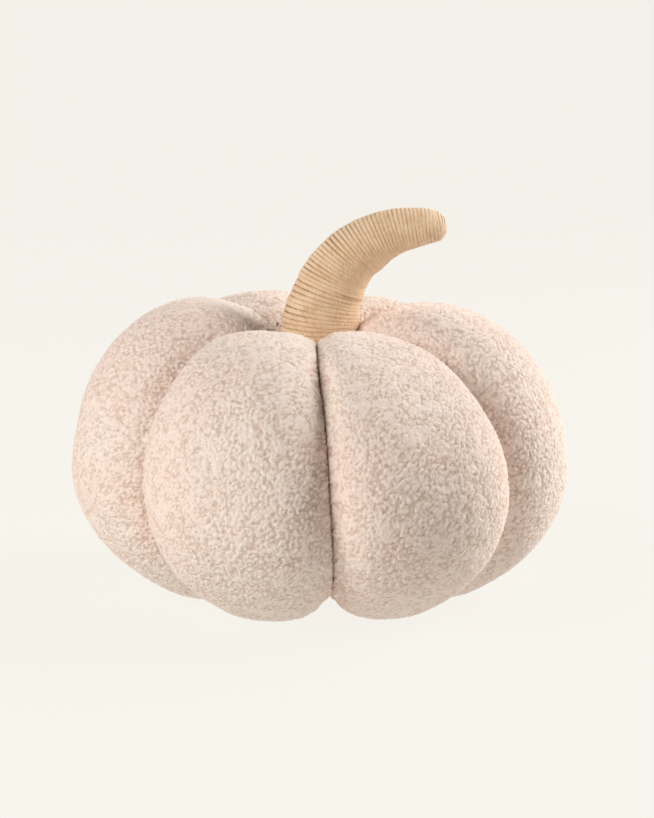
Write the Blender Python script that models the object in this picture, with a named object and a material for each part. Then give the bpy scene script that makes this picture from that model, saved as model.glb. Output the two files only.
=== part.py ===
"""Pumpkin cushion: six stuffed plush gores sewn into one casing, with a stem wound in twine.

Metres, +Z up. The cushion rests on the plane z = 0, with its front seam towards -Y.
The seams' angles are counted from -Y towards +X, the viewer's right.
"""
import math
from collections import namedtuple

import bmesh
import bpy
import numpy as np
from mathutils import Vector

# Each gore starts at its own seam, which leans by so many degrees from mid height to a pole.
# Its crest runs out to the reach and over a crown before it drops into the dimple.
Gore = namedtuple("Gore", "seam_deg lean_deg reach crown_height crown_radius")
GORES = (
    Gore(2.0, -5.0, 0.153, 0.167, 0.052),    # front right
    Gore(58.0, -5.0, 0.151, 0.179, 0.061),   # right
    Gore(125.0, 0.0, 0.148, 0.176, 0.059),   # back right
    Gore(185.0, 0.0, 0.152, 0.180, 0.057),   # back left
    Gore(239.0, 0.0, 0.150, 0.180, 0.073),   # left
    Gore(306.0, -4.0, 0.151, 0.169, 0.073),  # front left
)

# The rounding between the widest place and a crown or a foot is a superellipse,
# whose fullness is 2 for an ellipse and more for a squarer round.
BELLY_HEIGHT = 0.080
UPPER_FULLNESS = 2.0
LOWER_FULLNESS = 2.07
DIMPLE_FULLNESS = 2.0
DIMPLE_FLOOR = 0.118
FOOT_RADIUS = 0.047
UNDERSIDE_HEIGHT = 0.036

# A seam runs along its own, smaller outline, deep between two gores.
SEAM_REACH = 0.110
SEAM_FULLNESS = 2.2
SEAM_CROWN_RADIUS = 0.042
SEAM_CROWN_HEIGHT = 0.141
SEAM_FOOT_RADIUS = 0.042
SEAM_FOOT_HEIGHT = 0.020

# The filling sags until the feet of the gores are flat on the surface.
SAG = 0.006
FOOT_EDGE = 0.003

COLUMNS_PER_GORE = 12
RINGS = 40
ARC_STEPS = 40

# The stem's middle line lies in the plane y = 0, from the dimple to the tip.
Station = namedtuple("Station", "x z radius")
STEM = (
    Station(-0.0020, 0.136, 0.0248),
    Station(-0.0008, 0.163, 0.0238),
    Station(0.0012, 0.1755, 0.0223),
    Station(0.0046, 0.186, 0.0206),
    Station(0.0096, 0.196, 0.0192),
    Station(0.0178, 0.2065, 0.0176),
    Station(0.0293, 0.215, 0.0157),
    Station(0.0437, 0.2210, 0.0138),
    Station(0.0570, 0.2236, 0.0118),
    Station(0.0650, 0.2242, 0.0101),
    Station(0.0708, 0.2242, 0.0076),
    Station(0.0742, 0.2239, 0.0055),
)
STEM_SIDES = 28
STEM_RING_PITCH = 0.0036
STEPS_BETWEEN_STATIONS = 36

# The upper winding starts over the lower one, and its turns crowd inside the bend.
LAYER_START = 0.052
LAYER_STEP = 0.0006
LAYER_FADE = 0.010
CROWD_PLACE = 0.073
CROWD_LENGTH = 0.004
CROWD_HEIGHT = 0.0020

SEAT_CLEARANCE = 0.0003


def clear_scene():
    for thing in list(bpy.data.objects):
        bpy.data.objects.remove(thing, do_unlink=True)


def new_collection(name):
    collection = bpy.data.collections.new(name)
    bpy.context.scene.collection.children.link(collection)
    return collection


def plain_material(name, colour, roughness):
    material = bpy.data.materials.new(name)
    material.use_nodes = True
    shader = material.node_tree.nodes["Principled BSDF"]
    shader.inputs["Base Color"].default_value = (*colour, 1.0)
    shader.inputs["Roughness"].default_value = roughness
    shader.inputs["Metallic"].default_value = 0.0
    return material


def quarter_round(upright, level, fullness):
    """Points from a place with an upright tangent to a place with a level one."""
    turn = np.linspace(0.0, math.pi / 2, ARC_STEPS)
    out = np.cos(turn) ** (2.0 / fullness)
    up = np.sin(turn) ** (2.0 / fullness)
    radius = level[0] + (upright[0] - level[0]) * out
    height = upright[1] + (level[1] - upright[1]) * up
    return np.stack([radius, height], axis=1)


def outline(reach, crown, foot, upper_fullness, lower_fullness):
    """Radius and height along a gore's crest or a seam, from the underside to the dimple."""
    belly = (reach, BELLY_HEIGHT)
    arcs = [
        quarter_round((0.0, UNDERSIDE_HEIGHT), foot, DIMPLE_FULLNESS),
        quarter_round(belly, foot, lower_fullness)[::-1],
        quarter_round(belly, crown, upper_fullness),
        quarter_round((0.0, DIMPLE_FLOOR), crown, DIMPLE_FULLNESS)[::-1],
    ]
    points = np.concatenate([arcs[0]] + [arc[1:] for arc in arcs[1:]])
    return evenly_spaced(points, RINGS + 1)


def evenly_spaced(points, count):
    """Places an even distance apart along a line, whose first two columns are the way it runs."""
    steps = np.linalg.norm(np.diff(points[:, :2], axis=0), axis=1)
    travelled = np.concatenate([[0.0], np.cumsum(steps)])
    wanted = np.linspace(0.0, travelled[-1], count)
    return np.stack([np.interp(wanted, travelled, column) for column in points.T], axis=1)


def seam_angle(number, rise):
    """Angle of a seam in radians, where rise runs from -1 at the underside to 1 at the top."""
    turns, index = divmod(number, len(GORES))
    gore = GORES[index]
    return math.radians(gore.seam_deg + gore.lean_deg * rise + 360.0 * turns)


def rest_on_floor(height):
    """Flattens what would sag below z = 0, with a soft edge around each foot."""
    if height <= -FOOT_EDGE:
        return 0.0
    if height < FOOT_EDGE:
        return (height + FOOT_EDGE) ** 2 / (4.0 * FOOT_EDGE)
    return height


def skin_point(crests, seam, ring, number, share):
    """A point of the casing: share runs from 0 at one seam of the gore to 1 at the next."""
    rise = 2.0 * ring / RINGS - 1.0
    start = seam_angle(number, rise)
    end = seam_angle(number + 1, rise)
    sweep = math.pi * (share - 0.5)
    angle = (start + end) / 2.0 + (end - start) / 2.0 * math.sin(sweep)
    radius, height = seam[ring] + (crests[number][ring] - seam[ring]) * math.cos(sweep)
    return Vector((radius * math.sin(angle), -radius * math.cos(angle), rest_on_floor(height)))


def make_cushion(collection):
    """A ball of rings and columns whose points are drawn out to the gores and in to the seams."""
    foot = (FOOT_RADIUS, -SAG)
    crests = [
        outline(gore.reach, (gore.crown_radius, gore.crown_height), foot, UPPER_FULLNESS, LOWER_FULLNESS)
        for gore in GORES
    ]
    seam = outline(
        SEAM_REACH,
        (SEAM_CROWN_RADIUS, SEAM_CROWN_HEIGHT),
        (SEAM_FOOT_RADIUS, SEAM_FOOT_HEIGHT),
        SEAM_FULLNESS,
        SEAM_FULLNESS,
    )
    columns = COLUMNS_PER_GORE * len(GORES)
    ball = bmesh.new()
    bmesh.ops.create_uvsphere(ball, u_segments=columns, v_segments=RINGS, radius=1.0)
    for vert in ball.verts:
        ring = round(RINGS * (1.0 - math.acos(max(-1.0, min(1.0, vert.co.z))) / math.pi))
        around = math.atan2(vert.co.x, -vert.co.y) % (2.0 * math.pi)
        column = round(around / (2.0 * math.pi) * columns) % columns
        number, step = divmod(column, COLUMNS_PER_GORE)
        vert.co = skin_point(crests, seam, ring, number, step / COLUMNS_PER_GORE)
    mesh = bpy.data.meshes.new("cushion")
    ball.to_mesh(mesh)
    ball.free()
    mesh.shade_smooth()
    mesh.set_sharp_from_angle(angle=math.radians(60.0))
    cushion = bpy.data.objects.new("cushion", mesh)
    collection.objects.link(cushion)
    return cushion


def smooth_step(before, start, end, after, t):
    """A smooth curve's place between start and end, where t runs from 0 to 1."""
    slope = end - before
    bend = 2.0 * before - 5.0 * start + 4.0 * end - after
    twist = 3.0 * (start - end) + after - before
    return start + 0.5 * (slope * t + bend * t ** 2 + twist * t ** 3)


def stem_line():
    """Rings an even distance apart along the stem's middle line, and the line's length."""
    line = np.array(STEM)
    last = len(line) - 1
    points = [line[0]]
    for index in range(last):
        before = line[max(index - 1, 0)]
        after = line[min(index + 2, last)]
        for step in range(1, STEPS_BETWEEN_STATIONS + 1):
            t = step / STEPS_BETWEEN_STATIONS
            points.append(smooth_step(before, line[index], line[index + 1], after, t))
    points = np.array(points)
    length = np.linalg.norm(np.diff(points[:, :2], axis=0), axis=1).sum()
    return evenly_spaced(points, round(length / STEM_RING_PITCH) + 1), length


def winding_swell(place, turn):
    """What the start of the upper layer and the crowded turns add to the stem's radius."""
    swell = 0.0
    if place >= LAYER_START:
        swell += LAYER_STEP * math.exp((LAYER_START - place) / LAYER_FADE)
    inside = max(0.0, math.cos(turn)) ** 2
    crowd = math.exp(-((place - CROWD_PLACE) / CROWD_LENGTH) ** 2)
    return swell + CROWD_HEIGHT * inside * crowd


def stem_ring(tube, place, middle, tangent, radius):
    """One ring of points around the middle line, at right angles to it."""
    inner_side = Vector((tangent.z, 0.0, -tangent.x))
    front_side = Vector((0.0, 1.0, 0.0))
    ring = []
    for side in range(STEM_SIDES):
        turn = 2.0 * math.pi * side / STEM_SIDES
        reach = radius + winding_swell(place, turn)
        offset = inner_side * math.cos(turn) + front_side * math.sin(turn)
        ring.append(tube.verts.new(middle + offset * reach))
    return ring


def make_stem(name, collection, clearance):
    """Rings around the middle line, joined into one closed tube that narrows to a blunt tip."""
    line, length = stem_line()
    tangents = np.gradient(line[:, :2], axis=0)
    tube = bmesh.new()
    rings = []
    for number, (x, z, radius) in enumerate(line):
        tangent = Vector((tangents[number][0], 0.0, tangents[number][1])).normalized()
        middle = Vector((x, 0.0, z))
        if number == 0:
            middle -= tangent * clearance
        place = length * number / (len(line) - 1)
        rings.append(stem_ring(tube, place, middle, tangent, radius + clearance))
    for lower, upper in zip(rings, rings[1:]):
        for side in range(STEM_SIDES):
            after = (side + 1) % STEM_SIDES
            tube.faces.new((lower[side], lower[after], upper[after], upper[side]))
    tube.faces.new(list(reversed(rings[0])))
    tube.faces.new(rings[-1])
    bmesh.ops.recalc_face_normals(tube, faces=tube.faces)
    mesh = bpy.data.meshes.new(name)
    tube.to_mesh(mesh)
    tube.free()
    mesh.shade_smooth()
    mesh.set_sharp_from_angle(angle=math.radians(50.0))
    stem = bpy.data.objects.new(name, mesh)
    collection.objects.link(stem)
    return stem


def cut_seat(cushion, cutter):
    """Sinks the stem's foot into the dimple, a hair clear of the plush all round."""
    seat = cushion.modifiers.new("stem seat", "BOOLEAN")
    seat.operation = "DIFFERENCE"
    seat.object = cutter
    cutter.hide_render = True
    cutter.display_type = "WIRE"


def centre_over_origin(cushion, others):
    """Puts the middle of the cushion's outline, seen from above, over the origin."""
    corners = np.array([vert.co for vert in cushion.data.vertices])
    middle = (corners.min(axis=0) + corners.max(axis=0)) / 2.0
    for piece in (cushion, *others):
        piece.location = (-middle[0], -middle[1], 0.0)


def main():
    clear_scene()
    parts = new_collection("pumpkin cushion")
    cutters = new_collection("cutters")
    cushion = make_cushion(parts)
    cushion.data.materials.append(plain_material("blush plush", (0.79, 0.65, 0.57), 0.95))
    stem = make_stem("stem", parts, 0.0)
    stem.data.materials.append(plain_material("jute twine", (0.58, 0.37, 0.19), 0.85))
    cutter = make_stem("stem seat cutter", cutters, SEAT_CLEARANCE)
    cut_seat(cushion, cutter)
    centre_over_origin(cushion, (stem, cutter))


main()
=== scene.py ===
"""The looks of a pumpkin cushion: six stuffed gores of looped plush and a stem wound in jute twine.

Metres, +Z up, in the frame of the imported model. Seam angles are counted from -Y towards +X.
"""

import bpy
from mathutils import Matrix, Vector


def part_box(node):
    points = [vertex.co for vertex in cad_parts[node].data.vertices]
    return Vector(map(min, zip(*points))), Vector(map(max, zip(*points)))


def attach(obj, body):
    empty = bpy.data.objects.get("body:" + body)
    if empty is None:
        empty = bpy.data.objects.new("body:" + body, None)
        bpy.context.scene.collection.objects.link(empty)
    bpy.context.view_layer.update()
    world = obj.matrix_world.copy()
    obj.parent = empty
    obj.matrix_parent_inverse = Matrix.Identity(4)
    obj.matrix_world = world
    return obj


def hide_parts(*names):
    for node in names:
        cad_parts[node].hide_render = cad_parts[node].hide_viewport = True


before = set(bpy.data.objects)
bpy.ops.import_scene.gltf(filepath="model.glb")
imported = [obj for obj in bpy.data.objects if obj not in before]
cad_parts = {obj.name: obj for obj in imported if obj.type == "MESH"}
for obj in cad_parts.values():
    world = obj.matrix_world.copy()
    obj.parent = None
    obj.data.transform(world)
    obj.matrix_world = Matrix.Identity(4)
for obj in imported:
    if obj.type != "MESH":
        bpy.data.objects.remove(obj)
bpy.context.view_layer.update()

import math
from collections import namedtuple

import bmesh
import bpy
import numpy as np
from bpy.props import FloatProperty, FloatVectorProperty, IntProperty, PointerProperty
from mathutils import Matrix, Vector

bl_info = {
    "name": "Pumpkin Cushion",
    "version": (1, 0, 0),
    "blender": (4, 5, 0),
    "location": "View3D > Sidebar > Cushion",
    "description": "Sews and stuffs a plush pumpkin cushion and winds its stem in twine",
    "category": "Object",
}

CUSHION_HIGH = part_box("cushion")[1]
STEM_LOW, STEM_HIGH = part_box("stem")

# Each gore starts at its own seam, which leans by so many degrees from mid height to a pole,
# and turns further beside the stem. Its crest runs out to the reach and over a crown before it
# drops into the dimple, and is so full above and below the reach and in the dimple.
Gore = namedtuple(
    "Gore",
    "name seam_deg lean_deg turn_deg reach crown_height crown_radius upper lower dimple",
)
GORES = (
    Gore("front_right", 2.7, -5.7, -2.2, 0.153, 0.167, 0.052, 2.0, 1.86, 2.0),
    Gore("right", 58.0, -5.0, 0.0, 0.151, 0.179, 0.061, 2.05, 2.04, 2.0),
    Gore("back_right", 125.0, 0.0, 0.0, 0.148, 0.177, 0.059, 2.0, 2.07, 2.0),
    Gore("back_left", 185.0, 0.0, 0.0, 0.152, 0.180, 0.057, 2.0, 2.07, 2.0),
    Gore("left", 239.0, 0.0, 0.0, 0.1515, 0.180, 0.075, 1.96, 1.95, 1.5),
    Gore("front_left", 306.0, -4.0, 0.0, 0.151, 0.169, 0.073, 2.0, 1.92, 2.0),
)

# Each gore's first seam: how squarely the stuffed gores press on each other at the foot, at mid
# height and beside the stem, and where the crease goes over into the dimple.
Seam = namedtuple("Seam", "foot belly top crown_height crown_radius")
SEAMS = (
    Seam(0.0, 1.4, 2.2, 0.141, 0.042),
    Seam(0.4, 0.05, 0.9, 0.141, 0.042),
    Seam(0.0, 0.3, 0.5, 0.141, 0.042),
    Seam(0.0, 0.3, 0.5, 0.146, 0.042),
    Seam(0.0, 0.3, 0.3, 0.169, 0.058),
    Seam(0.4, 0.05, 0.9, 0.141, 0.042),
)

# The rounding between the widest place and a crown or a foot is a superellipse,
# whose fullness is 2 for an ellipse and more for a squarer round.
BELLY_HEIGHT = 0.080
DIMPLE_FLOOR = 0.118
FOOT_RADIUS = 0.047
UNDERSIDE_HEIGHT = 0.036
SEAM_REACH = 0.110
SEAM_FULLNESS = 2.2
SEAM_FOOT_RADIUS = 0.042
SEAM_FOOT_HEIGHT = 0.020
SAG = 0.006
FOOT_EDGE = 0.003
ARC_STEPS = 160

# Across, from seam to seam, a gore is as full as this and squarer where it presses on another.
# The presses at the foot, at mid height and at the top blend over these shares of its length.
SECTION_FULLNESS = 2.1
FOOT_TO_BELLY = (0.20, 0.45)
BELLY_TO_TOP = (0.62, 0.80)
SEAM_TURN = (0.20, 0.60)

# A row of the cage has 6 columns, doubled until none is wider than this share of the pitch.
FEWEST_COLUMNS = 6
WIDEST_COLUMN = 1.25
SECTION_STEPS = 241
FINE_LEVELS = 3

# Where the casing starts to be free: above the floor, and out from the stem.
FOOT_GRIP = (0.002, 0.010)
STEM_GRIP = (0.030, 0.050)
STUFFING_FRAMES = 20
CLOTH_MASS = 0.006
CLOTH_STEPS = 8

# The cage starts under the plush's tips by these shares of the pile's depth and of the swell.
PILE_SHARE = 0.72
SWELL_SHARE = 0.4

# Neighbours meet wherever their cloth comes near the seam between them, and their loops press
# into each other. The crease wanders from side to side, less beside the poles.
CLOSING_REACH = 0.0050
LOOP_OVERLAP = 0.0012
WANDER_LENGTH = 0.0042
WANDER = 0.0011
WANDER_CORE = 0.010
POLE_RADIUS = 0.006
# The plush gets painted shade within these distances of a seam, and is darker nearer to it.
CREASE_SHADE = (0.0004, 0.0016)

# The filling's lumps, and the noise that bends the curls and lets some of them run together.
# A curl is round over this share of its pitch, and the lowest is this share of the tallest.
LUMP_LENGTH = 0.034
WARP_LENGTH = 0.0045
WARP = 0.0006
CURL_ROUND = 0.50
LOWEST_CURL = 0.72
MERGING = 0.4
MERGING_NOISE = (0.10, 0.60)
EDGE_OF_PLUSH = (0.0, 0.25)

# The plush may reach so deep into the twine, and stays free so far below the stem's tip.
STEM_CLOSENESS = 0.0006
STEM_CLEAR_LENGTH = 0.03

# The stem's middle line lies in one upright plane, from the dimple to the tip.
Station = namedtuple("Station", "x z radius")
STEM = (
    Station(-0.0020, 0.136, 0.0248),
    Station(-0.0008, 0.163, 0.0238),
    Station(0.0012, 0.1755, 0.0223),
    Station(0.0046, 0.186, 0.0206),
    Station(0.0096, 0.196, 0.0192),
    Station(0.0178, 0.2065, 0.0176),
    Station(0.0293, 0.215, 0.0157),
    Station(0.0437, 0.2210, 0.0138),
    Station(0.0570, 0.2236, 0.0118),
    Station(0.0650, 0.2243, 0.0102),
    Station(0.0702, 0.2244, 0.0085),
    Station(0.0730, 0.2240, 0.0056),
)
STEPS_BETWEEN_STATIONS = 36
STEM_MIDDLE_Y = (STEM_LOW.y + STEM_HIGH.y) / 2.0

# The casing's own middle, from which the seams' angles and the reaches are counted.
CASING_MIDDLE = np.array([STEM[0].x - STEM[0].radius - STEM_LOW.x, -STEM_MIDDLE_Y, 0.0])

# The twine is pressed flat against the core, and the turns overlap a little. An upper layer
# starts part of the way up, the turns crowd inside the bend, and they slant at the tip.
FLATTEN = 0.64
WIDEN = 1.24
PLY_RELIEF = 0.05
LAYER_START = 0.052
LAYER_STEP = 0.0006
LAYER_FADE = 0.010
CROWD_PLACE = 0.087
CROWD_LENGTH = 0.008
CROWD_HEIGHT = 0.0016
TIP_RISE = 0.0008
TWINE_START = 0.010
TWINE_END = 0.0004
LEAST_RADIUS = 0.0012
LAYER_CHANGE = (LAYER_START - 0.002, LAYER_START + 0.004)
TURN_OVERLAP = (0.85, 0.12)
BUMP_TURN = 0.7
BUMP_HEIGHT = 0.00010
SLANT = 0.28
SLANT_START = (0.062, 0.073)
TWINE_SIDES = 10

# The core ends a little short of the tip, and lies this share of the lower twine under it.
CORE_STEPS = 60
CORE_END = 0.0015
CORE_DEPTH = 0.8

# The lights and the paper sweep, in metres.
LIGHT_DISTANCE = 2.0
LIGHT_SIZE = 1.3
LIGHT_COLOUR = (1.0, 0.98, 0.96)
SWEEP_FRONT = -5.0
SWEEP_BEND_START = 3.0
SWEEP_BEND_RADIUS = 1.5
SWEEP_TOP = 6.0
SWEEP_HALF_WIDTH = 6.0


def mm(name, description, default):
    """A length property, given in millimetres."""
    return FloatProperty(
        name=name, description=description, default=default / 1000.0,
        unit="LENGTH", subtype="DISTANCE", precision=5,
    )


def degrees(name, description, default):
    """An angle property, given in degrees."""
    return FloatProperty(
        name=name, description=description, default=math.radians(default),
        unit="ROTATION", subtype="ANGLE",
    )


def amount(name, description, default):
    """A number property that can't be negative."""
    return FloatProperty(name=name, description=description, default=default, min=0.0)


def tint(name, description, default):
    return FloatVectorProperty(
        name=name, description=description, default=default,
        subtype="COLOR", size=3, min=0.0, max=1.0,
    )


class CushionSettings(bpy.types.PropertyGroup):
    """The stuffing and the plush of the gores."""

    cage_pitch: mm("Cage pitch", "Spacing of the cloth's points before it is subdivided", 7.7)
    stuffing_pressure: amount(
        "Stuffing pressure", "How hard the filling presses on the casing", 4.0)
    swell: mm("Swell", "Most that the filling may push the casing out", 2.2)
    pile_depth: mm("Pile depth", "Height of the tallest loops over their backing", 1.05)
    curl_pitch: mm("Curl pitch", "Spacing of the curls of plush", 2.85)
    lump_height: mm("Lump height", "Unevenness of the filling", 0.6)
    seed: IntProperty(name="Seed", description="Seed of the curls", default=11)
    plush: tint("Plush", "Colour of the curls' tips", (0.82, 0.70, 0.62))
    blush: tint("Blush", "Warmer tint that the plush takes in places", (0.83, 0.675, 0.595))
    # This colour is painted shade: the plush darkens towards it between its curls and along its
    # creases, where shade falls.
    painted_crevice_shade: tint("Painted crevice shade", "Colour deep between the curls", (0.46, 0.27, 0.17))


class StemSettings(bpy.types.PropertyGroup):
    """The twine wound around the stem."""

    twine_low: mm("Lower twine", "Thickness of the twine at the stem's foot", 2.9)
    twine_high: mm("Upper twine", "Thickness of the twine at the tip", 2.4)
    step_length: mm("Step", "Spacing of the twine's points along its length", 1.3)
    ply_lay: mm("Ply lay", "Length in which the two plies turn once around each other", 6.5)
    jute: tint("Jute", "Colour of the twine", (0.78, 0.52, 0.31))
    pale_jute: tint("Pale jute", "Colour of its lightest fibres", (0.90, 0.70, 0.50))
    # The darkest fibres' colour also paints the shade between the turns.
    dark_jute: tint("Dark jute", "Colour of its darkest fibres", (0.38, 0.22, 0.11))
    seed: IntProperty(name="Seed", description="Seed of the winding's unevenness", default=5)


class StudioSettings(bpy.types.PropertyGroup):
    """The floor, the lights and the camera."""

    floor: tint("Floor", "Colour of the floor", (0.045, 0.044, 0.041))
    paper: tint("Paper light", "Light that the evenly lit paper gives", (0.913, 0.888, 0.831))
    floor_glow: amount("Paper glow", "Strength of that light", 0.966)
    camera_elevation: degrees("Elevation", "Camera's height over the horizon", 9.8)
    camera_roll: degrees("Roll", "Camera's roll", 0.58)
    camera_distance: mm("Distance", "From the camera to what it looks at", 1400.0)
    aim_height: mm("Aim height", "Height that the camera looks at", 112.9)
    aim_side: mm("Aim side", "How far right of the middle the camera looks", 3.06)
    lens: amount("Lens", "Focal length in millimetres", 101.8)
    key: amount("Key", "Power of the light at the left, in watts", 34.5)
    side: amount("Side", "Power of the light at the right, in watts", 51.0)
    sky: amount("Sky", "Brightness of the surrounding light", 0.08)


def deselect_all():
    for thing in bpy.context.selected_objects:
        thing.select_set(False)
    bpy.context.view_layer.objects.active = None


def make_active(piece):
    deselect_all()
    piece.select_set(True)
    bpy.context.view_layer.objects.active = piece


def apply_modifiers(piece):
    make_active(piece)
    for modifier in list(piece.modifiers):
        bpy.ops.object.modifier_apply(modifier=modifier.name)


def read_points(mesh):
    points = np.empty(len(mesh.vertices) * 3)
    mesh.vertices.foreach_get("co", points)
    return points.reshape(-1, 3)


def write_points(mesh, points):
    mesh.vertices.foreach_set("co", points.ravel())
    mesh.update()


def read_normals(mesh):
    normals = np.empty(len(mesh.vertices) * 3)
    mesh.vertex_normals.foreach_get("vector", normals)
    return normals.reshape(-1, 3)


def smooth_ramp(low, high, value):
    share = np.clip((value - low) / (high - low), 0.0, 1.0)
    return share * share * (3.0 - 2.0 * share)


class Lattice:
    """Random values on a wrapped 3D lattice, for noise and for curls that need no texture."""

    SIDE = 64

    def __init__(self, seed):
        generator = np.random.default_rng(seed)
        self.values = generator.random((self.SIDE, self.SIDE, self.SIDE, 4))

    def at(self, cell):
        index = np.mod(cell, self.SIDE)
        return self.values[index[:, 0], index[:, 1], index[:, 2]]

    def noise(self, points, pitch):
        """Smooth noise from -1 to 1, in three channels."""
        place = points / pitch
        cell = np.floor(place).astype(int)
        part = place - cell
        part = part * part * (3.0 - 2.0 * part)
        total = np.zeros((len(points), 3))
        for corner in np.ndindex(2, 2, 2):
            weight = np.prod(np.where(corner, part, 1.0 - part), axis=1)
            total += self.at(cell + corner)[:, :3] * weight[:, None]
        return total * 2.0 - 1.0

    def curls(self, points, pitch):
        """How far each point is from the border between two curls, and its curl's number."""
        place = points / pitch
        cell = np.floor(place).astype(int)
        nearest = np.full(len(points), 9.0)
        second = np.full(len(points), 9.0)
        number = np.zeros(len(points))
        for step in np.ndindex(3, 3, 3):
            neighbour = cell + np.array(step) - 1
            values = self.at(neighbour)
            distance = np.linalg.norm(neighbour + values[:, :3] - place, axis=1)
            closer = distance < nearest
            second = np.where(closer, nearest, np.minimum(second, distance))
            number = np.where(closer, values[:, 3], number)
            nearest = np.where(closer, distance, nearest)
        return second - nearest, number


def quarter_round(upright, level, fullness):
    """Points from a place with an upright tangent to a place with a level one."""
    turn = np.linspace(0.0, math.pi / 2, ARC_STEPS)
    out = np.cos(turn) ** (2.0 / fullness)
    up = np.sin(turn) ** (2.0 / fullness)
    radius = level[0] + (upright[0] - level[0]) * out
    height = upright[1] + (level[1] - upright[1]) * up
    return np.stack([radius, height], axis=1)


def outline(reach, crown, foot, upper_fullness, lower_fullness, dimple_fullness=2.0):
    """Radius and height along a gore's crest or a seam, from the underside to the dimple."""
    belly = (reach, BELLY_HEIGHT)
    arcs = [
        quarter_round((0.0, UNDERSIDE_HEIGHT), foot, 2.0),
        quarter_round(belly, foot, lower_fullness)[::-1],
        quarter_round(belly, crown, upper_fullness),
        quarter_round((0.0, DIMPLE_FLOOR), crown, dimple_fullness)[::-1],
    ]
    return np.concatenate([arcs[0]] + [arc[1:] for arc in arcs[1:]])


def travelled(points):
    steps = np.linalg.norm(np.diff(points[:, :2], axis=0), axis=1)
    return np.concatenate([[0.0], np.cumsum(steps)])


def along(points, share):
    """Places at shares of a line's length, which is counted over its first two columns."""
    way = travelled(points)
    return np.stack([np.interp(share * way[-1], way, column) for column in points.T], axis=-1)


def gore_crest(number):
    gore = GORES[number]
    crown = (gore.crown_radius, gore.crown_height)
    foot = (FOOT_RADIUS, -SAG)
    return outline(gore.reach, crown, foot, gore.upper, gore.lower, gore.dimple)


def seam_line(number):
    seam = SEAMS[number % len(SEAMS)]
    crown = (seam.crown_radius, seam.crown_height)
    foot = (SEAM_FOOT_RADIUS, SEAM_FOOT_HEIGHT)
    return outline(SEAM_REACH, crown, foot, SEAM_FULLNESS, SEAM_FULLNESS)


def seam_angle(number, rise):
    """Angle of a seam in radians, where rise runs from -1 at the underside to 1 at the top."""
    turns, index = divmod(number, len(GORES))
    gore = GORES[index]
    turned = gore.turn_deg * smooth_ramp(*SEAM_TURN, rise)
    return np.radians(gore.seam_deg + gore.lean_deg * rise + turned + 360.0 * turns)


def rest_on_floor(height):
    """Flattens what would sag below z = 0, with a soft edge around each foot."""
    edge = (height + FOOT_EDGE) ** 2 / (4.0 * FOOT_EDGE)
    return np.where(height <= -FOOT_EDGE, 0.0, np.where(height < FOOT_EDGE, edge, height))


def section_fullness(number, up, across):
    """How square a gore is from seam to seam: it presses on its own neighbour at each side."""
    near, far = SEAMS[number], SEAMS[(number + 1) % len(SEAMS)]
    low, high = smooth_ramp(*FOOT_TO_BELLY, up), smooth_ramp(*BELLY_TO_TOP, up)
    shares = (1.0 - low, low * (1.0 - high), high)
    near_press, far_press = (
        sum(share * press for share, press in zip(shares, seam[:3])) for seam in (near, far)
    )
    return SECTION_FULLNESS + np.where(across < 0.0, near_press, far_press)


def casing_point(number, up, across):
    """The casing's outside: up runs from 0 underneath to 1 in the dimple, across from -1 to 1."""
    power = 2.0 / section_fullness(number, up, across)
    seam = np.where(
        across[..., None] < 0.0, along(seam_line(number), up), along(seam_line(number + 1), up)
    )
    crest = along(gore_crest(number), up)
    rise = 2.0 * up - 1.0
    start = seam_angle(number, rise)
    end = seam_angle(number + 1, rise)
    sweep = math.pi / 2 * across
    sideways = np.sign(across) * np.abs(np.sin(sweep)) ** power
    outwards = np.clip(np.cos(sweep), 0.0, 1.0) ** power
    angle = (start + end) / 2.0 + (end - start) / 2.0 * sideways
    place = seam + (crest - seam) * outwards[..., None]
    radius, height = place[..., 0], rest_on_floor(place[..., 1])
    return np.stack([radius * np.sin(angle), -radius * np.cos(angle), height], axis=-1)


def columns_for(width, pitch):
    columns = FEWEST_COLUMNS
    while width / columns > pitch * WIDEST_COLUMN:
        columns *= 2
    return columns


def gore_rows(number, pitch):
    """Rows of even points from the underside to the dimple, with fewer where the gore is narrow."""
    length = travelled(gore_crest(number))[-1]
    count = round(length / pitch)
    rows = []
    columns = FEWEST_COLUMNS
    across = np.linspace(-1.0, 1.0, SECTION_STEPS)
    for step in range(1, count):
        line = casing_point(number, np.full(SECTION_STEPS, step / count), across)
        way = np.concatenate([[0.0], np.cumsum(np.linalg.norm(np.diff(line, axis=0), axis=1))])
        columns = min(max(columns_for(way[-1], pitch), columns // 2), columns * 2)
        even = np.linspace(0.0, way[-1], columns + 1)
        rows.append(np.stack([np.interp(even, way, column) for column in line.T], axis=1))
    return rows


def join_rows(cage, lower, upper):
    """Faces between two rows, which have as many columns or one twice as many as the other."""
    low, high = len(lower) - 1, len(upper) - 1
    for step in range(min(low, high)):
        bottom = lower[step * low // min(low, high):(step + 1) * low // min(low, high) + 1]
        top = upper[step * high // min(low, high):(step + 1) * high // min(low, high) + 1]
        cage.faces.new(bottom + top[::-1])
    cage.faces.new((lower[-1], lower[0], upper[0], upper[-1]))


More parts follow.
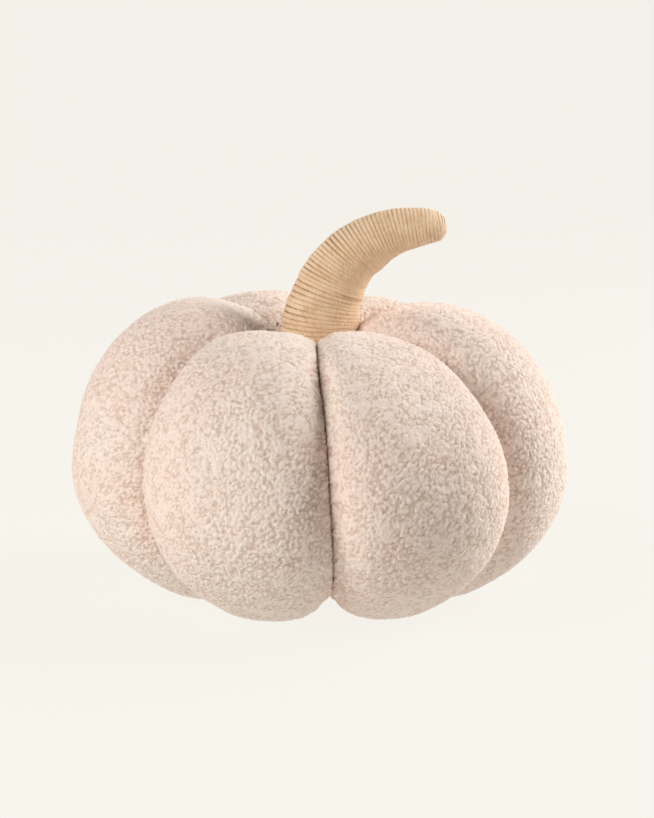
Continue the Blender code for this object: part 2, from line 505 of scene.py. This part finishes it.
def gore_cage(number, pitch):
    """One gore as a closed cage: its plush outside, and a plain wall behind from seam to seam."""
    cage = bmesh.new()
    rows = [
        [cage.verts.new(point) for point in row - CASING_MIDDLE]
        for row in gore_rows(number, pitch)
    ]
    ends = casing_point(number, np.array([0.0, 1.0]), np.zeros(2)) - CASING_MIDDLE
    bottom, top = (cage.verts.new(point) for point in ends)
    for lower, upper in zip(rows, rows[1:]):
        join_rows(cage, lower, upper)
    for left, right in zip(rows[0], rows[0][1:]):
        cage.faces.new((bottom, right, left))
    for left, right in zip(rows[-1], rows[-1][1:]):
        cage.faces.new((left, right, top))
    cage.faces.new((bottom, rows[0][0], rows[0][-1]))
    cage.faces.new((rows[-1][-1], rows[-1][0], top))
    sewn = {bottom, top}
    for row in rows:
        sewn.update((row[0], row[-1]))
    creases = cage.edges.layers.float.new("crease_edge")
    for edge in cage.edges:
        edge[creases] = 1.0 if sewn.issuperset(edge.verts) else 0.0
    cage.verts.index_update()
    held = [vert.index for vert in sewn]
    heights = [np.full(len(row), step / (len(rows) + 1.0)) for step, row in enumerate(rows, 1)]
    ups = np.concatenate([*heights, [0.0, 1.0]])
    mesh = bpy.data.meshes.new("gore_" + GORES[number].name)
    cage.to_mesh(mesh)
    cage.free()
    mesh.attributes.new("up", "FLOAT", "POINT").data.foreach_set("value", ups)
    gore = bpy.data.objects.new(mesh.name, mesh)
    bpy.context.scene.collection.objects.link(gore)
    return gore, held


def draw_in(gore, held, cushion):
    """Sets the cage back from the plush's tips, and marks what is free to swell."""
    mesh = gore.data
    points = read_points(mesh)
    free = np.ones(len(points))
    free[held] = 0.0
    loose = 1.0 - pin_weights(points, free)
    depth = free * (PILE_SHARE * cushion.pile_depth + SWELL_SHARE * cushion.swell * loose)
    points -= read_normals(mesh) * depth[:, None]
    write_points(mesh, points)
    plush = mesh.attributes.new("plush", "FLOAT", "POINT")
    plush.data.foreach_set("value", free)
    return points, free


def pin_weights(points, free):
    """1 where the casing is sewn, stands on the floor or is drawn in around the stem."""
    foot = 1.0 - smooth_ramp(*FOOT_GRIP, points[:, 2])
    away = np.hypot(points[:, 0], points[:, 1])
    drawn = 1.0 - smooth_ramp(*STEM_GRIP, away)
    return np.maximum(1.0 - free, np.maximum(foot, drawn))


def stuff(gores, pressure, swell):
    """Blows up all the casings together as cloth, and caps how far a point may go."""
    for gore, points, free in gores:
        pins = gore.vertex_groups.new(name="pins")
        for index, weight in enumerate(pin_weights(points, free)):
            if weight > 0.0:
                pins.add([index], float(weight), "REPLACE")
        cloth = gore.modifiers.new("stuffing", "CLOTH")
        cloth.settings.use_pressure = True
        cloth.settings.uniform_pressure_force = pressure
        cloth.settings.vertex_group_mass = "pins"
        cloth.settings.mass = CLOTH_MASS
        cloth.settings.effector_weights.gravity = 0.0
        cloth.settings.quality = CLOTH_STEPS
        cloth.point_cache.frame_start = 1
        cloth.point_cache.frame_end = STUFFING_FRAMES
    for number in range(1, STUFFING_FRAMES + 1):
        bpy.context.scene.frame_set(number)
    for gore, points, _ in gores:
        apply_modifiers(gore)
        moved = read_points(gore.data) - points
        travel = np.linalg.norm(moved, axis=1)
        scale = np.minimum(1.0, swell / np.maximum(travel, 1e-9))
        write_points(gore.data, points + moved * scale[:, None])
        gore.vertex_groups.clear()
    bpy.context.scene.frame_set(1)


def refine(gore):
    subdivision = gore.modifiers.new("fine cloth", "SUBSURF")
    subdivision.levels = FINE_LEVELS
    subdivision.render_levels = FINE_LEVELS
    subdivision.use_limit_surface = True
    apply_modifiers(gore)


def read_values(mesh, name):
    values = np.empty(len(mesh.vertices))
    mesh.attributes[name].data.foreach_get("value", values)
    return values


def crease_wander(lattice, seam, radius, height):
    """How far a crease wanders at a place, pushed by the loops on either side of it."""
    plane = np.full(len(radius), 0.1 * (seam % len(SEAMS)))
    place = np.stack([radius, height, plane], axis=1)
    return lattice.noise(place, WANDER_LENGTH)[:, 0] * WANDER


def keep_between_seams(points, number, up, gap, lattice):
    """Presses a gore flat at its seams' planes, where it closes on its neighbours.

    Returns the points, and how far each was from its nearer plane.
    """
    placed = points + CASING_MIDDLE
    radius = np.hypot(placed[:, 0], placed[:, 1])
    rise = 2.0 * up - 1.0
    start, end = (
        seam_angle(seam, rise)
        + crease_wander(lattice, seam, radius, placed[:, 2]) / np.maximum(radius, WANDER_CORE)
        for seam in (number, number + 1)
    )
    middle = (start + end) / 2.0
    turn = np.arctan2(placed[:, 0], -placed[:, 1]) - middle
    turn = (turn + math.pi) % (2.0 * math.pi) - math.pi
    away = ((end - start) / 2.0 - np.abs(turn)) * radius
    closed = np.maximum(away - gap, 0.0)
    closed = closed * np.clip(closed / CLOSING_REACH, 0.0, 1.0) ** 2 + gap
    turn = np.sign(turn) * ((end - start) / 2.0 - closed / np.maximum(radius, POLE_RADIUS)) + middle
    pressed = np.stack([radius * np.sin(turn), -radius * np.cos(turn), placed[:, 2]], axis=1)
    return np.where(radius[:, None] > POLE_RADIUS, pressed, placed) - CASING_MIDDLE, away


def grow_pile(gore, number, lattice, cushion):
    """Raises the plush's curls, and keeps each point's share of their height, from which the colour
    paints shade between the curls.
    """
    mesh = gore.data
    points = read_points(mesh)
    plush = read_values(mesh, "plush")
    lumps = lattice.noise(points, LUMP_LENGTH)[:, 0] * cushion.lump_height
    warped = points + lattice.noise(points, WARP_LENGTH) * WARP
    border, curl_number = lattice.curls(warped, cushion.curl_pitch)
    dome = np.sin(np.clip(border / CURL_ROUND, 0.0, 1.0) * math.pi / 2.0)
    merged = smooth_ramp(*MERGING_NOISE, lattice.noise(points + 0.3, WARP_LENGTH)[:, 1])
    curl = 1.0 - (1.0 - dome) * (1.0 - MERGING * merged)
    curl *= LOWEST_CURL + (1.0 - LOWEST_CURL) * curl_number
    height = (curl * cushion.pile_depth + lumps) * smooth_ramp(*EDGE_OF_PLUSH, plush)
    grown = points + read_normals(mesh) * height[:, None]
    gap = (1.0 - curl) * cushion.pile_depth - LOOP_OVERLAP
    grown, away = keep_between_seams(grown, number, read_values(mesh, "up"), gap, lattice)
    grown[:, 2] = np.maximum(grown[:, 2], 0.0)
    write_points(mesh, keep_off_stem(grown))
    # These values set painted shade in the plush's colour, between the curls and along the creases.
    for name, values in (("pile", curl), ("crease", 1.0 - smooth_ramp(*CREASE_SHADE, away))):
        layer = mesh.attributes.new(name, "FLOAT", "POINT")
        layer.data.foreach_set("value", values)
    mesh.shade_smooth()


def keep_off_stem(points):
    """Presses the plush back to the twine where the gores close around the stem's foot."""
    line = stem_line()[0]
    height = points[:, 2]
    middle_x = np.interp(height, line[:, 1], line[:, 0])
    radius = np.interp(height, line[:, 1], line[:, 2]) - STEM_CLOSENESS
    beside = (height > line[0, 1]) & (height < STEM_HIGH.z - STEM_CLEAR_LENGTH)
    offset = points[:, :2] - np.stack([middle_x, np.full(len(points), STEM_MIDDLE_Y)], axis=1)
    away = np.linalg.norm(offset, axis=1)
    push = np.where(beside & (away < radius), radius / np.maximum(away, 1e-6), 1.0)
    pressed = points.copy()
    pressed[:, :2] += offset * (push - 1.0)[:, None]
    return pressed


def smooth_step(before, start, end, after, t):
    """A smooth curve's place between start and end, where t runs from 0 to 1."""
    slope = end - before
    bend = 2.0 * before - 5.0 * start + 4.0 * end - after
    twist = 3.0 * (start - end) + after - before
    return start + 0.5 * (slope * t + bend * t ** 2 + twist * t ** 3)


def stem_line():
    """Columns x, z and radius along the stem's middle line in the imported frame, and its way."""
    line = np.array(STEM)
    last = len(line) - 1
    points = [line[0]]
    for index in range(last):
        before = line[max(index - 1, 0)]
        after = line[min(index + 2, last)]
        for step in range(1, STEPS_BETWEEN_STATIONS + 1):
            t = step / STEPS_BETWEEN_STATIONS
            points.append(smooth_step(before, line[index], line[index + 1], after, t))
    points = np.array(points)
    points[:, 0] -= CASING_MIDDLE[0]
    return points, travelled(points)


def stem_profile():
    """Way along the middle line and radius of the winding's outside, from the foot over the tip."""
    line, way = stem_line()
    layer = LAYER_STEP * np.exp((LAYER_START - way) / LAYER_FADE)
    layer = np.where(way >= LAYER_START, layer, 0.0)
    profile = np.stack([way, line[:, 2] + layer], axis=1)
    turn = np.linspace(0.0, math.pi / 2, 12)[1:]
    end_radius = profile[-1, 1]
    cap = np.stack([way[-1] + TIP_RISE * np.sin(turn), end_radius * np.cos(turn)], axis=1)
    cap[-1, 1] = 0.0
    return np.concatenate([profile, cap])


def stem_frame(way):
    """Middle, tangent and inner side of the stem at ways along it."""
    line, lengths = stem_line()
    beyond = np.maximum(way - lengths[-1], 0.0)
    x = np.interp(way, lengths, line[:, 0])
    z = np.interp(way, lengths, line[:, 1])
    slope_x = np.gradient(line[:, 0], lengths)
    slope_z = np.gradient(line[:, 1], lengths)
    tangent_x = np.interp(way, lengths, slope_x)
    tangent_z = np.interp(way, lengths, slope_z)
    norm = np.hypot(tangent_x, tangent_z)
    zero = np.zeros_like(x)
    tangent = np.stack([tangent_x / norm, zero, tangent_z / norm], axis=1)
    inner = np.stack([tangent[:, 2], zero, -tangent[:, 0]], axis=1)
    middle = np.stack([x, zero + STEM_MIDDLE_Y, z], axis=1) + tangent * beyond[:, None]
    return middle, tangent, inner


def winding(stem):
    """The twine's own line: its points, the way out of the stem there, and its thickness."""
    generator = np.random.default_rng(stem.seed)
    profile = stem_profile()
    reach = travelled(profile)
    turn = 0.0
    place = TWINE_START
    places, turns = [], []
    overlap, unevenness = TURN_OVERLAP
    jitter = generator.random(400)
    while place < reach[-1] - TWINE_END:
        radius = max(np.interp(place, reach, profile[:, 1]), LEAST_RADIUS)
        share = smooth_ramp(*LAYER_CHANGE, place)
        thickness = stem.twine_low + (stem.twine_high - stem.twine_low) * share
        step = min(stem.step_length, radius * 0.5)
        angle = step / radius
        index = int(turn / (2.0 * math.pi))
        pitch = thickness * (overlap + unevenness * jitter[index % len(jitter)])
        places.append((place, thickness))
        turns.append(turn)
        turn += angle
        place += pitch * angle / (2.0 * math.pi)
    places = np.array(places)
    turns = np.array(turns)
    thickness = places[:, 1]
    way = np.interp(places[:, 0], reach, profile[:, 0])
    radius = np.interp(places[:, 0], reach, profile[:, 1])
    slope_way = np.interp(places[:, 0], reach, np.gradient(profile[:, 0], reach))
    slope_radius = np.interp(places[:, 0], reach, np.gradient(profile[:, 1], reach))
    sideways = np.cos(turns)[:, None]
    forward = np.sin(turns)[:, None]
    middle, tangent, inner = stem_frame(way)
    front = np.array([0.0, 1.0, 0.0])
    out = inner * sideways + front * forward
    normal = out * slope_way[:, None] - tangent * slope_radius[:, None]
    normal /= np.linalg.norm(normal, axis=1, keepdims=True)
    inside = np.maximum(0.0, np.cos(turns)) ** 2
    crowd = CROWD_HEIGHT * inside * np.exp(-((way - CROWD_PLACE) / CROWD_LENGTH) ** 2)
    bump_turns = np.arange(0.0, turns[-1] + 1.0, BUMP_TURN)
    bumps = np.interp(turns, bump_turns, generator.normal(0.0, BUMP_HEIGHT, len(bump_turns)))
    inset = FLATTEN * thickness / 2.0 - crowd - bumps
    centre = middle + out * radius[:, None] - normal * inset[:, None]
    slant = SLANT * smooth_ramp(*SLANT_START, centre[:, 0])
    centre[:, 0] += slant * (STEM[-1].z - centre[:, 2])
    return centre, normal, thickness


def twine_mesh(name, centre, normal, thickness, lay, sides=TWINE_SIDES):
    """A closed tube along the twine's line, of two plies that turn around each other."""
    forward = np.gradient(centre, axis=0)
    forward /= np.linalg.norm(forward, axis=1, keepdims=True)
    side = np.cross(forward, normal)
    side /= np.linalg.norm(side, axis=1, keepdims=True)
    up = np.cross(side, forward)
    steps = np.linalg.norm(np.diff(centre, axis=0), axis=1)
    length = np.concatenate([[0.0], np.cumsum(steps)])
    angle = 2.0 * math.pi * np.arange(sides) / sides + math.pi
    ply = 2.0 * math.pi * length / lay
    plies = 1.0 + PLY_RELIEF * np.cos(2.0 * (angle[None] - ply[:, None]))
    reach = thickness[:, None] * 0.5 * plies
    outwards = up[:, None, :] * (FLATTEN * np.cos(angle))[None, :, None]
    sideways = side[:, None, :] * (WIDEN * np.sin(angle))[None, :, None]
    offset = outwards + sideways
    points = centre[:, None, :] + offset * reach[:, :, None]
    rings = len(centre)
    grid = np.arange(rings * sides).reshape(rings, sides)
    after = np.roll(grid, -1, axis=1)
    quads = np.stack([grid[:-1], after[:-1], after[1:], grid[1:]], axis=-1).reshape(-1, 4)
    faces = quads.tolist() + [grid[0][::-1].tolist(), grid[-1].tolist()]
    mesh = bpy.data.meshes.new(name)
    mesh.from_pydata(points.reshape(-1, 3).tolist(), [], faces)
    around = np.concatenate([np.arange(sides), [sides]]) / sides
    uv = mesh.uv_layers.new(name="twine")
    corners = np.zeros((len(mesh.loops), 2))
    first = np.stack([np.tile(around[:-1], rings - 1), np.repeat(length[:-1], sides)], axis=1)
    second = np.stack([np.tile(around[1:], rings - 1), np.repeat(length[:-1], sides)], axis=1)
    third = np.stack([np.tile(around[1:], rings - 1), np.repeat(length[1:], sides)], axis=1)
    fourth = np.stack([np.tile(around[:-1], rings - 1), np.repeat(length[1:], sides)], axis=1)
    corners[:len(quads) * 4] = np.stack([first, second, third, fourth], axis=1).reshape(-1, 2)
    uv.data.foreach_set("uv", corners.ravel())
    mesh.validate()
    twine = bpy.data.objects.new(name, mesh)
    bpy.context.scene.collection.objects.link(twine)
    mesh.shade_smooth()
    return twine


class Sock:
    """A socket of a material's nodes that takes part in arithmetic."""

    def __init__(self, painter, socket):
        self.painter = painter
        self.socket = socket

    def maths(self, operation, *values):
        return self.painter.node("ShaderNodeMath", {"operation": operation}, values)

    def __add__(self, other):
        return self.maths("ADD", self, other)

    def __sub__(self, other):
        return self.maths("SUBTRACT", self, other)

    def __rsub__(self, other):
        return self.maths("SUBTRACT", other, self)

    def __mul__(self, other):
        return self.maths("MULTIPLY", self, other)


class Painter:
    """Builds one material's nodes."""

    def __init__(self, name):
        self.material = bpy.data.materials.new(name)
        self.material.use_nodes = True
        self.tree = self.material.node_tree
        self.shader = self.tree.nodes["Principled BSDF"]

    def node(self, kind, setup, values=(), output=0):
        """Adds a node, sets it up, fills its sockets by order or by name, and gives one output."""
        node = self.tree.nodes.new(kind)
        for key, value in setup.items():
            setattr(node, key, value)
        pairs = values.items() if isinstance(values, dict) else enumerate(values)
        for key, value in pairs:
            self.fill(node.inputs[key], value)
        return Sock(self, node.outputs[output])

    def output_of(self, sock, number):
        """Another output of the node that a socket belongs to."""
        return Sock(self, sock.socket.node.outputs[number])

    def fill(self, socket, value):
        if isinstance(value, Sock):
            self.tree.links.new(value.socket, socket)
        elif socket.type == "RGBA":
            socket.default_value = (*value, 1.0)
        else:
            socket.default_value = value

    def place(self):
        return self.node("ShaderNodeTexCoord", {}, output="Object")

    def attribute(self, name):
        return self.node("ShaderNodeAttribute", {"attribute_name": name}, output="Fac")

    def uv(self, name):
        return self.node("ShaderNodeUVMap", {"uv_map": name})

    def noise(self, vector, scale, detail=2.0, roughness=0.5):
        return self.node(
            "ShaderNodeTexNoise", {},
            {"Vector": vector, "Scale": scale, "Detail": detail, "Roughness": roughness},
        )

    def cells(self, vector, scale):
        return self.node(
            "ShaderNodeTexVoronoi", {"feature": "SMOOTH_F1"},
            {"Vector": vector, "Scale": scale, "Smoothness": 0.4},
        )

    def ramp(self, value, low, high):
        return self.node(
            "ShaderNodeMapRange", {"interpolation_type": "SMOOTHSTEP"},
            {"Value": value, "From Min": low, "From Max": high, "To Min": 0.0, "To Max": 1.0},
        )

    def blend(self, share, first, second):
        node = self.tree.nodes.new("ShaderNodeMix")
        node.data_type = "RGBA"
        self.fill(node.inputs[0], share)
        self.fill(node.inputs[6], first)
        self.fill(node.inputs[7], second)
        return Sock(self, node.outputs[2])

    def bump(self, height, strength, distance):
        values = {"Height": height, "Strength": strength, "Distance": distance}
        return self.node("ShaderNodeBump", {}, values)

    def finish(self, colour, roughness, normal=None, **constants):
        self.fill(self.shader.inputs["Base Color"], colour)
        self.fill(self.shader.inputs["Roughness"], roughness)
        if normal is not None:
            self.fill(self.shader.inputs["Normal"], normal)
        for name, value in constants.items():
            socket = self.shader.inputs[name.replace("_", " ")]
            self.fill(socket, value)
        return self.material


def plush_material(cushion):
    """Looped plush: pale tips, painted warm shade between the curls and along the creases, and a
    soft bloom at grazing angles.
    """
    paint = Painter("blush looped plush")
    place = paint.place()
    pile = paint.attribute("pile")
    drift = paint.ramp(paint.noise(place, 16.0, 3.0), 0.40, 0.62)
    body = paint.blend(drift, cushion.plush, cushion.blush)
    knots = paint.cells(place, 430.0)
    ragged = pile + (paint.noise(place, 700.0, 3.0) - 0.5) * 0.3
    ragged = ragged - paint.ramp(knots, 0.45, 0.80) * 0.22
    # Painted shade: the plush darkens low between its curls and at the knots' edges, where shade
    # falls.
    depth = 1.0 - paint.ramp(ragged, 0.0, 0.50)
    shaded = paint.blend(depth * 0.50, body, cushion.painted_crevice_shade)
    # Painted shade along the creases, where the gores meet.
    shaded = paint.blend(paint.attribute("crease") * 0.12, shaded, cushion.painted_crevice_shade)
    speckle = paint.ramp(paint.noise(place, 420.0, 3.0, 0.6), 0.35, 0.70)
    flecked = paint.blend(speckle * 0.08, shaded, (1.0, 0.96, 0.90))
    strands = paint.noise(place, 1300.0, 3.0, 0.65)
    normal = paint.bump(strands * 0.30 - knots, 0.85, 0.0008)
    return paint.finish(
        flecked, 0.92, normal,
        Sheen_Weight=0.30, Sheen_Roughness=0.45, Sheen_Tint=(1.0, 0.95, 0.90),
        Specular_IOR_Level=0.15,
    )


def jute_material(stem):
    """Jute twine: fine fibres along the strand, with pale and dark ones, painted shade where the
    turns meet, and a slight gloss.
    """
    paint = Painter("natural jute twine")
    split = paint.node("ShaderNodeSeparateXYZ", {}, [paint.uv("twine")])
    length = paint.output_of(split, 1)
    turn = (split - length * (1.0 / stem.ply_lay)) * (2.0 * math.pi)
    wound = paint.node(
        "ShaderNodeCombineXYZ", {},
        [turn.maths("COSINE", turn) * 2.2, turn.maths("SINE", turn) * 2.2, length * 190.0],
    )
    fibres = paint.noise(wound, 1.6, 4.0, 0.6)
    # Painted shade: the twine darkens away from its outermost side, where it meets the next turns,
    # more in some patches than in others.
    outward = split.maths("COSINE", split * (2.0 * math.pi)) * -1.0
    gap_shade_patches = paint.ramp(paint.noise(paint.place(), 160.0, 3.0), 0.30, 0.62)
    gap = paint.ramp(outward, 0.92, 0.56) * (gap_shade_patches * 0.7 + 0.3)
    tone = paint.noise(paint.node("ShaderNodeCombineXYZ", {}, [length * 60.0, 0.0, 0.0]), 1.0, 3.0)
    drift = paint.noise(paint.place(), 75.0, 3.0)
    colour = paint.blend(paint.ramp(fibres, 0.42, 0.70), stem.jute, stem.pale_jute)
    colour = paint.blend(paint.ramp(fibres, 0.50, 0.28) * 0.6, colour, stem.dark_jute)
    colour = paint.blend(paint.ramp(tone, 0.50, 0.74) * 0.35, colour, stem.dark_jute)
    colour = paint.blend(paint.ramp(drift, 0.42, 0.66) * 0.45, colour, stem.pale_jute)
    # Painted shade between the turns.
    colour = paint.blend(gap * 0.75, colour, stem.dark_jute)
    normal = paint.bump(fibres, 0.7, 0.0005)
    return paint.finish(
        colour, 0.72, normal,
        Specular_IOR_Level=0.3, Sheen_Weight=0.2, Sheen_Roughness=0.5,
    )


def core_material(stem):
    """What shows of the core between the turns: rough and shaded."""
    paint = Painter("shaded jute core")
    grain = paint.noise(paint.place(), 400.0, 3.0)
    colour = paint.blend(grain, stem.dark_jute, stem.jute)
    return paint.finish(colour, 0.9, paint.bump(grain, 0.4, 0.0005))


def floor_material(studio):
    """Matt pale paper, lit so evenly that only a faint shadow shows on it."""
    paint = Painter("pale paper floor")
    return paint.finish(
        studio.floor, 0.95, Specular_IOR_Level=0.0,
        Emission_Color=studio.paper, Emission_Strength=studio.floor_glow,
    )


class CUSHION_OT_sew_gores(bpy.types.Operator):
    """Cuts, sews and stuffs the six gores, and raises their plush"""

    bl_idname = "cushion.sew_gores"
    bl_label = "Sew and stuff the gores"

    def execute(self, context):
        cushion = context.scene.cushion_settings
        material = plush_material(cushion)
        made = []
        for number in range(len(GORES)):
            gore, held = gore_cage(number, cushion.cage_pitch)
            points, free = draw_in(gore, held, cushion)
            made.append((gore, points, free))
        stuff(made, cushion.stuffing_pressure, cushion.swell)
        lattice = Lattice(cushion.seed)
        for number, (gore, _, _) in enumerate(made):
            refine(gore)
            grow_pile(gore, number, lattice, cushion)
            gore.data.materials.append(material)
            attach(gore, "root")
            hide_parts("cushion")
        return {"FINISHED"}


class CUSHION_OT_wind_stem(bpy.types.Operator):
    """Winds the stem's core in jute twine from its foot to its tip"""

    bl_idname = "cushion.wind_stem"
    bl_label = "Wind the stem"

    def execute(self, context):
        stem = context.scene.stem_settings
        centre, normal, thickness = winding(stem)
        twine = twine_mesh("stem_winding", centre, normal, thickness, stem.ply_lay)
        twine.data.materials.append(jute_material(stem))
        core = stem_core(stem)
        core.data.materials.append(core_material(stem))
        for piece in (twine, core):
            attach(piece, "root")
            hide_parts("stem")
        return {"FINISHED"}


def stem_core(stem):
    """The form under the twine: a round tube that follows the stem and is closed at both ends."""
    profile = stem_profile()
    ways = np.linspace(0.0, profile[-1, 0] - CORE_END, CORE_STEPS)
    radii = np.interp(ways, profile[:, 0], profile[:, 1]) - CORE_DEPTH * stem.twine_low
    radii = np.maximum(radii, LEAST_RADIUS)
    middle = stem_frame(ways)[0]
    curve = bpy.data.curves.new("stem_core", "CURVE")
    curve.dimensions = "3D"
    curve.bevel_depth = 1.0
    curve.bevel_resolution = 6
    curve.use_fill_caps = True
    spline = curve.splines.new("POLY")
    spline.points.add(len(ways) - 1)
    for point, place, radius in zip(spline.points, middle, radii):
        point.co = (*place, 1.0)
        point.radius = radius
    tube = bpy.data.objects.new("stem_core", curve)
    bpy.context.scene.collection.objects.link(tube)
    make_active(tube)
    bpy.ops.object.convert(target="MESH")
    core = bpy.context.active_object
    bpy.ops.object.mode_set(mode="EDIT")
    bpy.ops.mesh.select_all(action="SELECT")
    bpy.ops.mesh.remove_doubles(threshold=0.00001)
    bpy.ops.mesh.normals_make_consistent(inside=False)
    bpy.ops.object.mode_set(mode="OBJECT")
    core.data.shade_smooth()
    return core


def softbox(name, around_deg, up_deg, power):
    """A large round light far off, so many degrees round from -Y towards +X and up."""
    around, up = math.radians(around_deg), math.radians(up_deg)
    away = Vector((math.sin(around) * math.cos(up), -math.cos(around) * math.cos(up), math.sin(up)))
    light = bpy.data.lights.new(name, "AREA")
    light.shape = "DISK"
    light.size = LIGHT_SIZE
    light.energy = power
    light.color = LIGHT_COLOUR
    lamp = bpy.data.objects.new(name, light)
    lamp.location = LIGHT_DISTANCE * away + Vector((0.0, 0.0, 0.5 * CUSHION_HIGH.z))
    lamp.rotation_euler = (-away).to_track_quat("-Z", "Y").to_euler()
    bpy.context.scene.collection.objects.link(lamp)


def paper_sweep():
    """A floor whose far end sweeps up, so that no horizon shows behind the cushion."""
    bend = [
        (SWEEP_BEND_START + SWEEP_BEND_RADIUS * math.sin(turn),
         SWEEP_BEND_RADIUS * (1.0 - math.cos(turn)))
        for turn in np.linspace(0.0, math.pi / 2, 9)
    ]
    line = [(SWEEP_FRONT, 0.0), *bend, (SWEEP_BEND_START + SWEEP_BEND_RADIUS, SWEEP_TOP)]
    sweep = bmesh.new()
    rows = [
        [sweep.verts.new((side, y, z)) for side in (-SWEEP_HALF_WIDTH, SWEEP_HALF_WIDTH)]
        for y, z in line
    ]
    for near, far in zip(rows, rows[1:]):
        sweep.faces.new((near[0], near[1], far[1], far[0]))
    mesh = bpy.data.meshes.new("studio_floor")
    sweep.to_mesh(mesh)
    sweep.free()
    mesh.shade_smooth()
    floor = bpy.data.objects.new("studio_floor", mesh)
    bpy.context.scene.collection.objects.link(floor)
    return floor


class CUSHION_OT_set_studio(bpy.types.Operator):
    """Sets a pale floor, soft lights and the camera"""

    bl_idname = "cushion.set_studio"
    bl_label = "Set the studio"

    def execute(self, context):
        studio = context.scene.studio_settings
        deselect_all()
        floor = paper_sweep()
        floor.data.materials.append(floor_material(studio))
        softbox("key light", -52.0, 30.0, studio.key)
        softbox("side light", 106.0, 30.0, studio.side)
        world = bpy.data.worlds.new("soft studio")
        world.use_nodes = True
        background = world.node_tree.nodes["Background"]
        background.inputs["Color"].default_value = (*studio.paper, 1.0)
        background.inputs["Strength"].default_value = studio.sky
        context.scene.world = world
        place_camera(studio)
        context.scene.view_settings.view_transform = "Standard"
        context.scene.view_settings.look = "None"
        return {"FINISHED"}


def place_camera(studio):
    camera = bpy.data.objects.new("camera", bpy.data.cameras.new("camera"))
    bpy.context.scene.collection.objects.link(camera)
    aim = Vector((studio.aim_side, 0.0, studio.aim_height))
    tilt = studio.camera_elevation
    back = Vector((0.0, -math.cos(tilt), math.sin(tilt)))
    camera.location = aim + back * studio.camera_distance
    facing = (-back).to_track_quat("-Z", "Y").to_matrix()
    roll = Matrix.Rotation(studio.camera_roll, 3, "Z")
    camera.rotation_euler = (facing @ roll).to_euler()
    camera.data.lens = studio.lens
    camera.data.sensor_width = 36.0
    camera.data.clip_start = 0.05
    camera.data.clip_end = 60.0
    bpy.context.scene.camera = camera


class CUSHION_PT_panel(bpy.types.Panel):
    """Lists the pieces in the order in which they are made"""

    bl_label = "Pumpkin Cushion"
    bl_idname = "CUSHION_PT_panel"
    bl_space_type = "VIEW_3D"
    bl_region_type = "UI"
    bl_category = "Cushion"

    def draw(self, context):
        layout = self.layout
        for name, operator in zip(GROUPS, OPERATORS):
            group = getattr(context.scene, name)
            box = layout.box()
            for setting in group.__annotations__:
                box.prop(group, setting)
            box.operator(operator.bl_idname)


OPERATORS = (CUSHION_OT_sew_gores, CUSHION_OT_wind_stem, CUSHION_OT_set_studio)
GROUPS = {
    "cushion_settings": CushionSettings,
    "stem_settings": StemSettings,
    "studio_settings": StudioSettings,
}


def register():
    for group in GROUPS.values():
        bpy.utils.register_class(group)
    for operator in OPERATORS:
        bpy.utils.register_class(operator)
    bpy.utils.register_class(CUSHION_PT_panel)
    for name, group in GROUPS.items():
        setattr(bpy.types.Scene, name, PointerProperty(type=group))


def unregister():
    for name in GROUPS:
        delattr(bpy.types.Scene, name)
    bpy.utils.unregister_class(CUSHION_PT_panel)
    for operator in reversed(OPERATORS):
        bpy.utils.unregister_class(operator)
    for group in reversed(list(GROUPS.values())):
        bpy.utils.unregister_class(group)


def main():
    register()
    bpy.ops.cushion.sew_gores()
    bpy.ops.cushion.wind_stem()
    bpy.ops.cushion.set_studio()


if __name__ == "__main__":
    main()
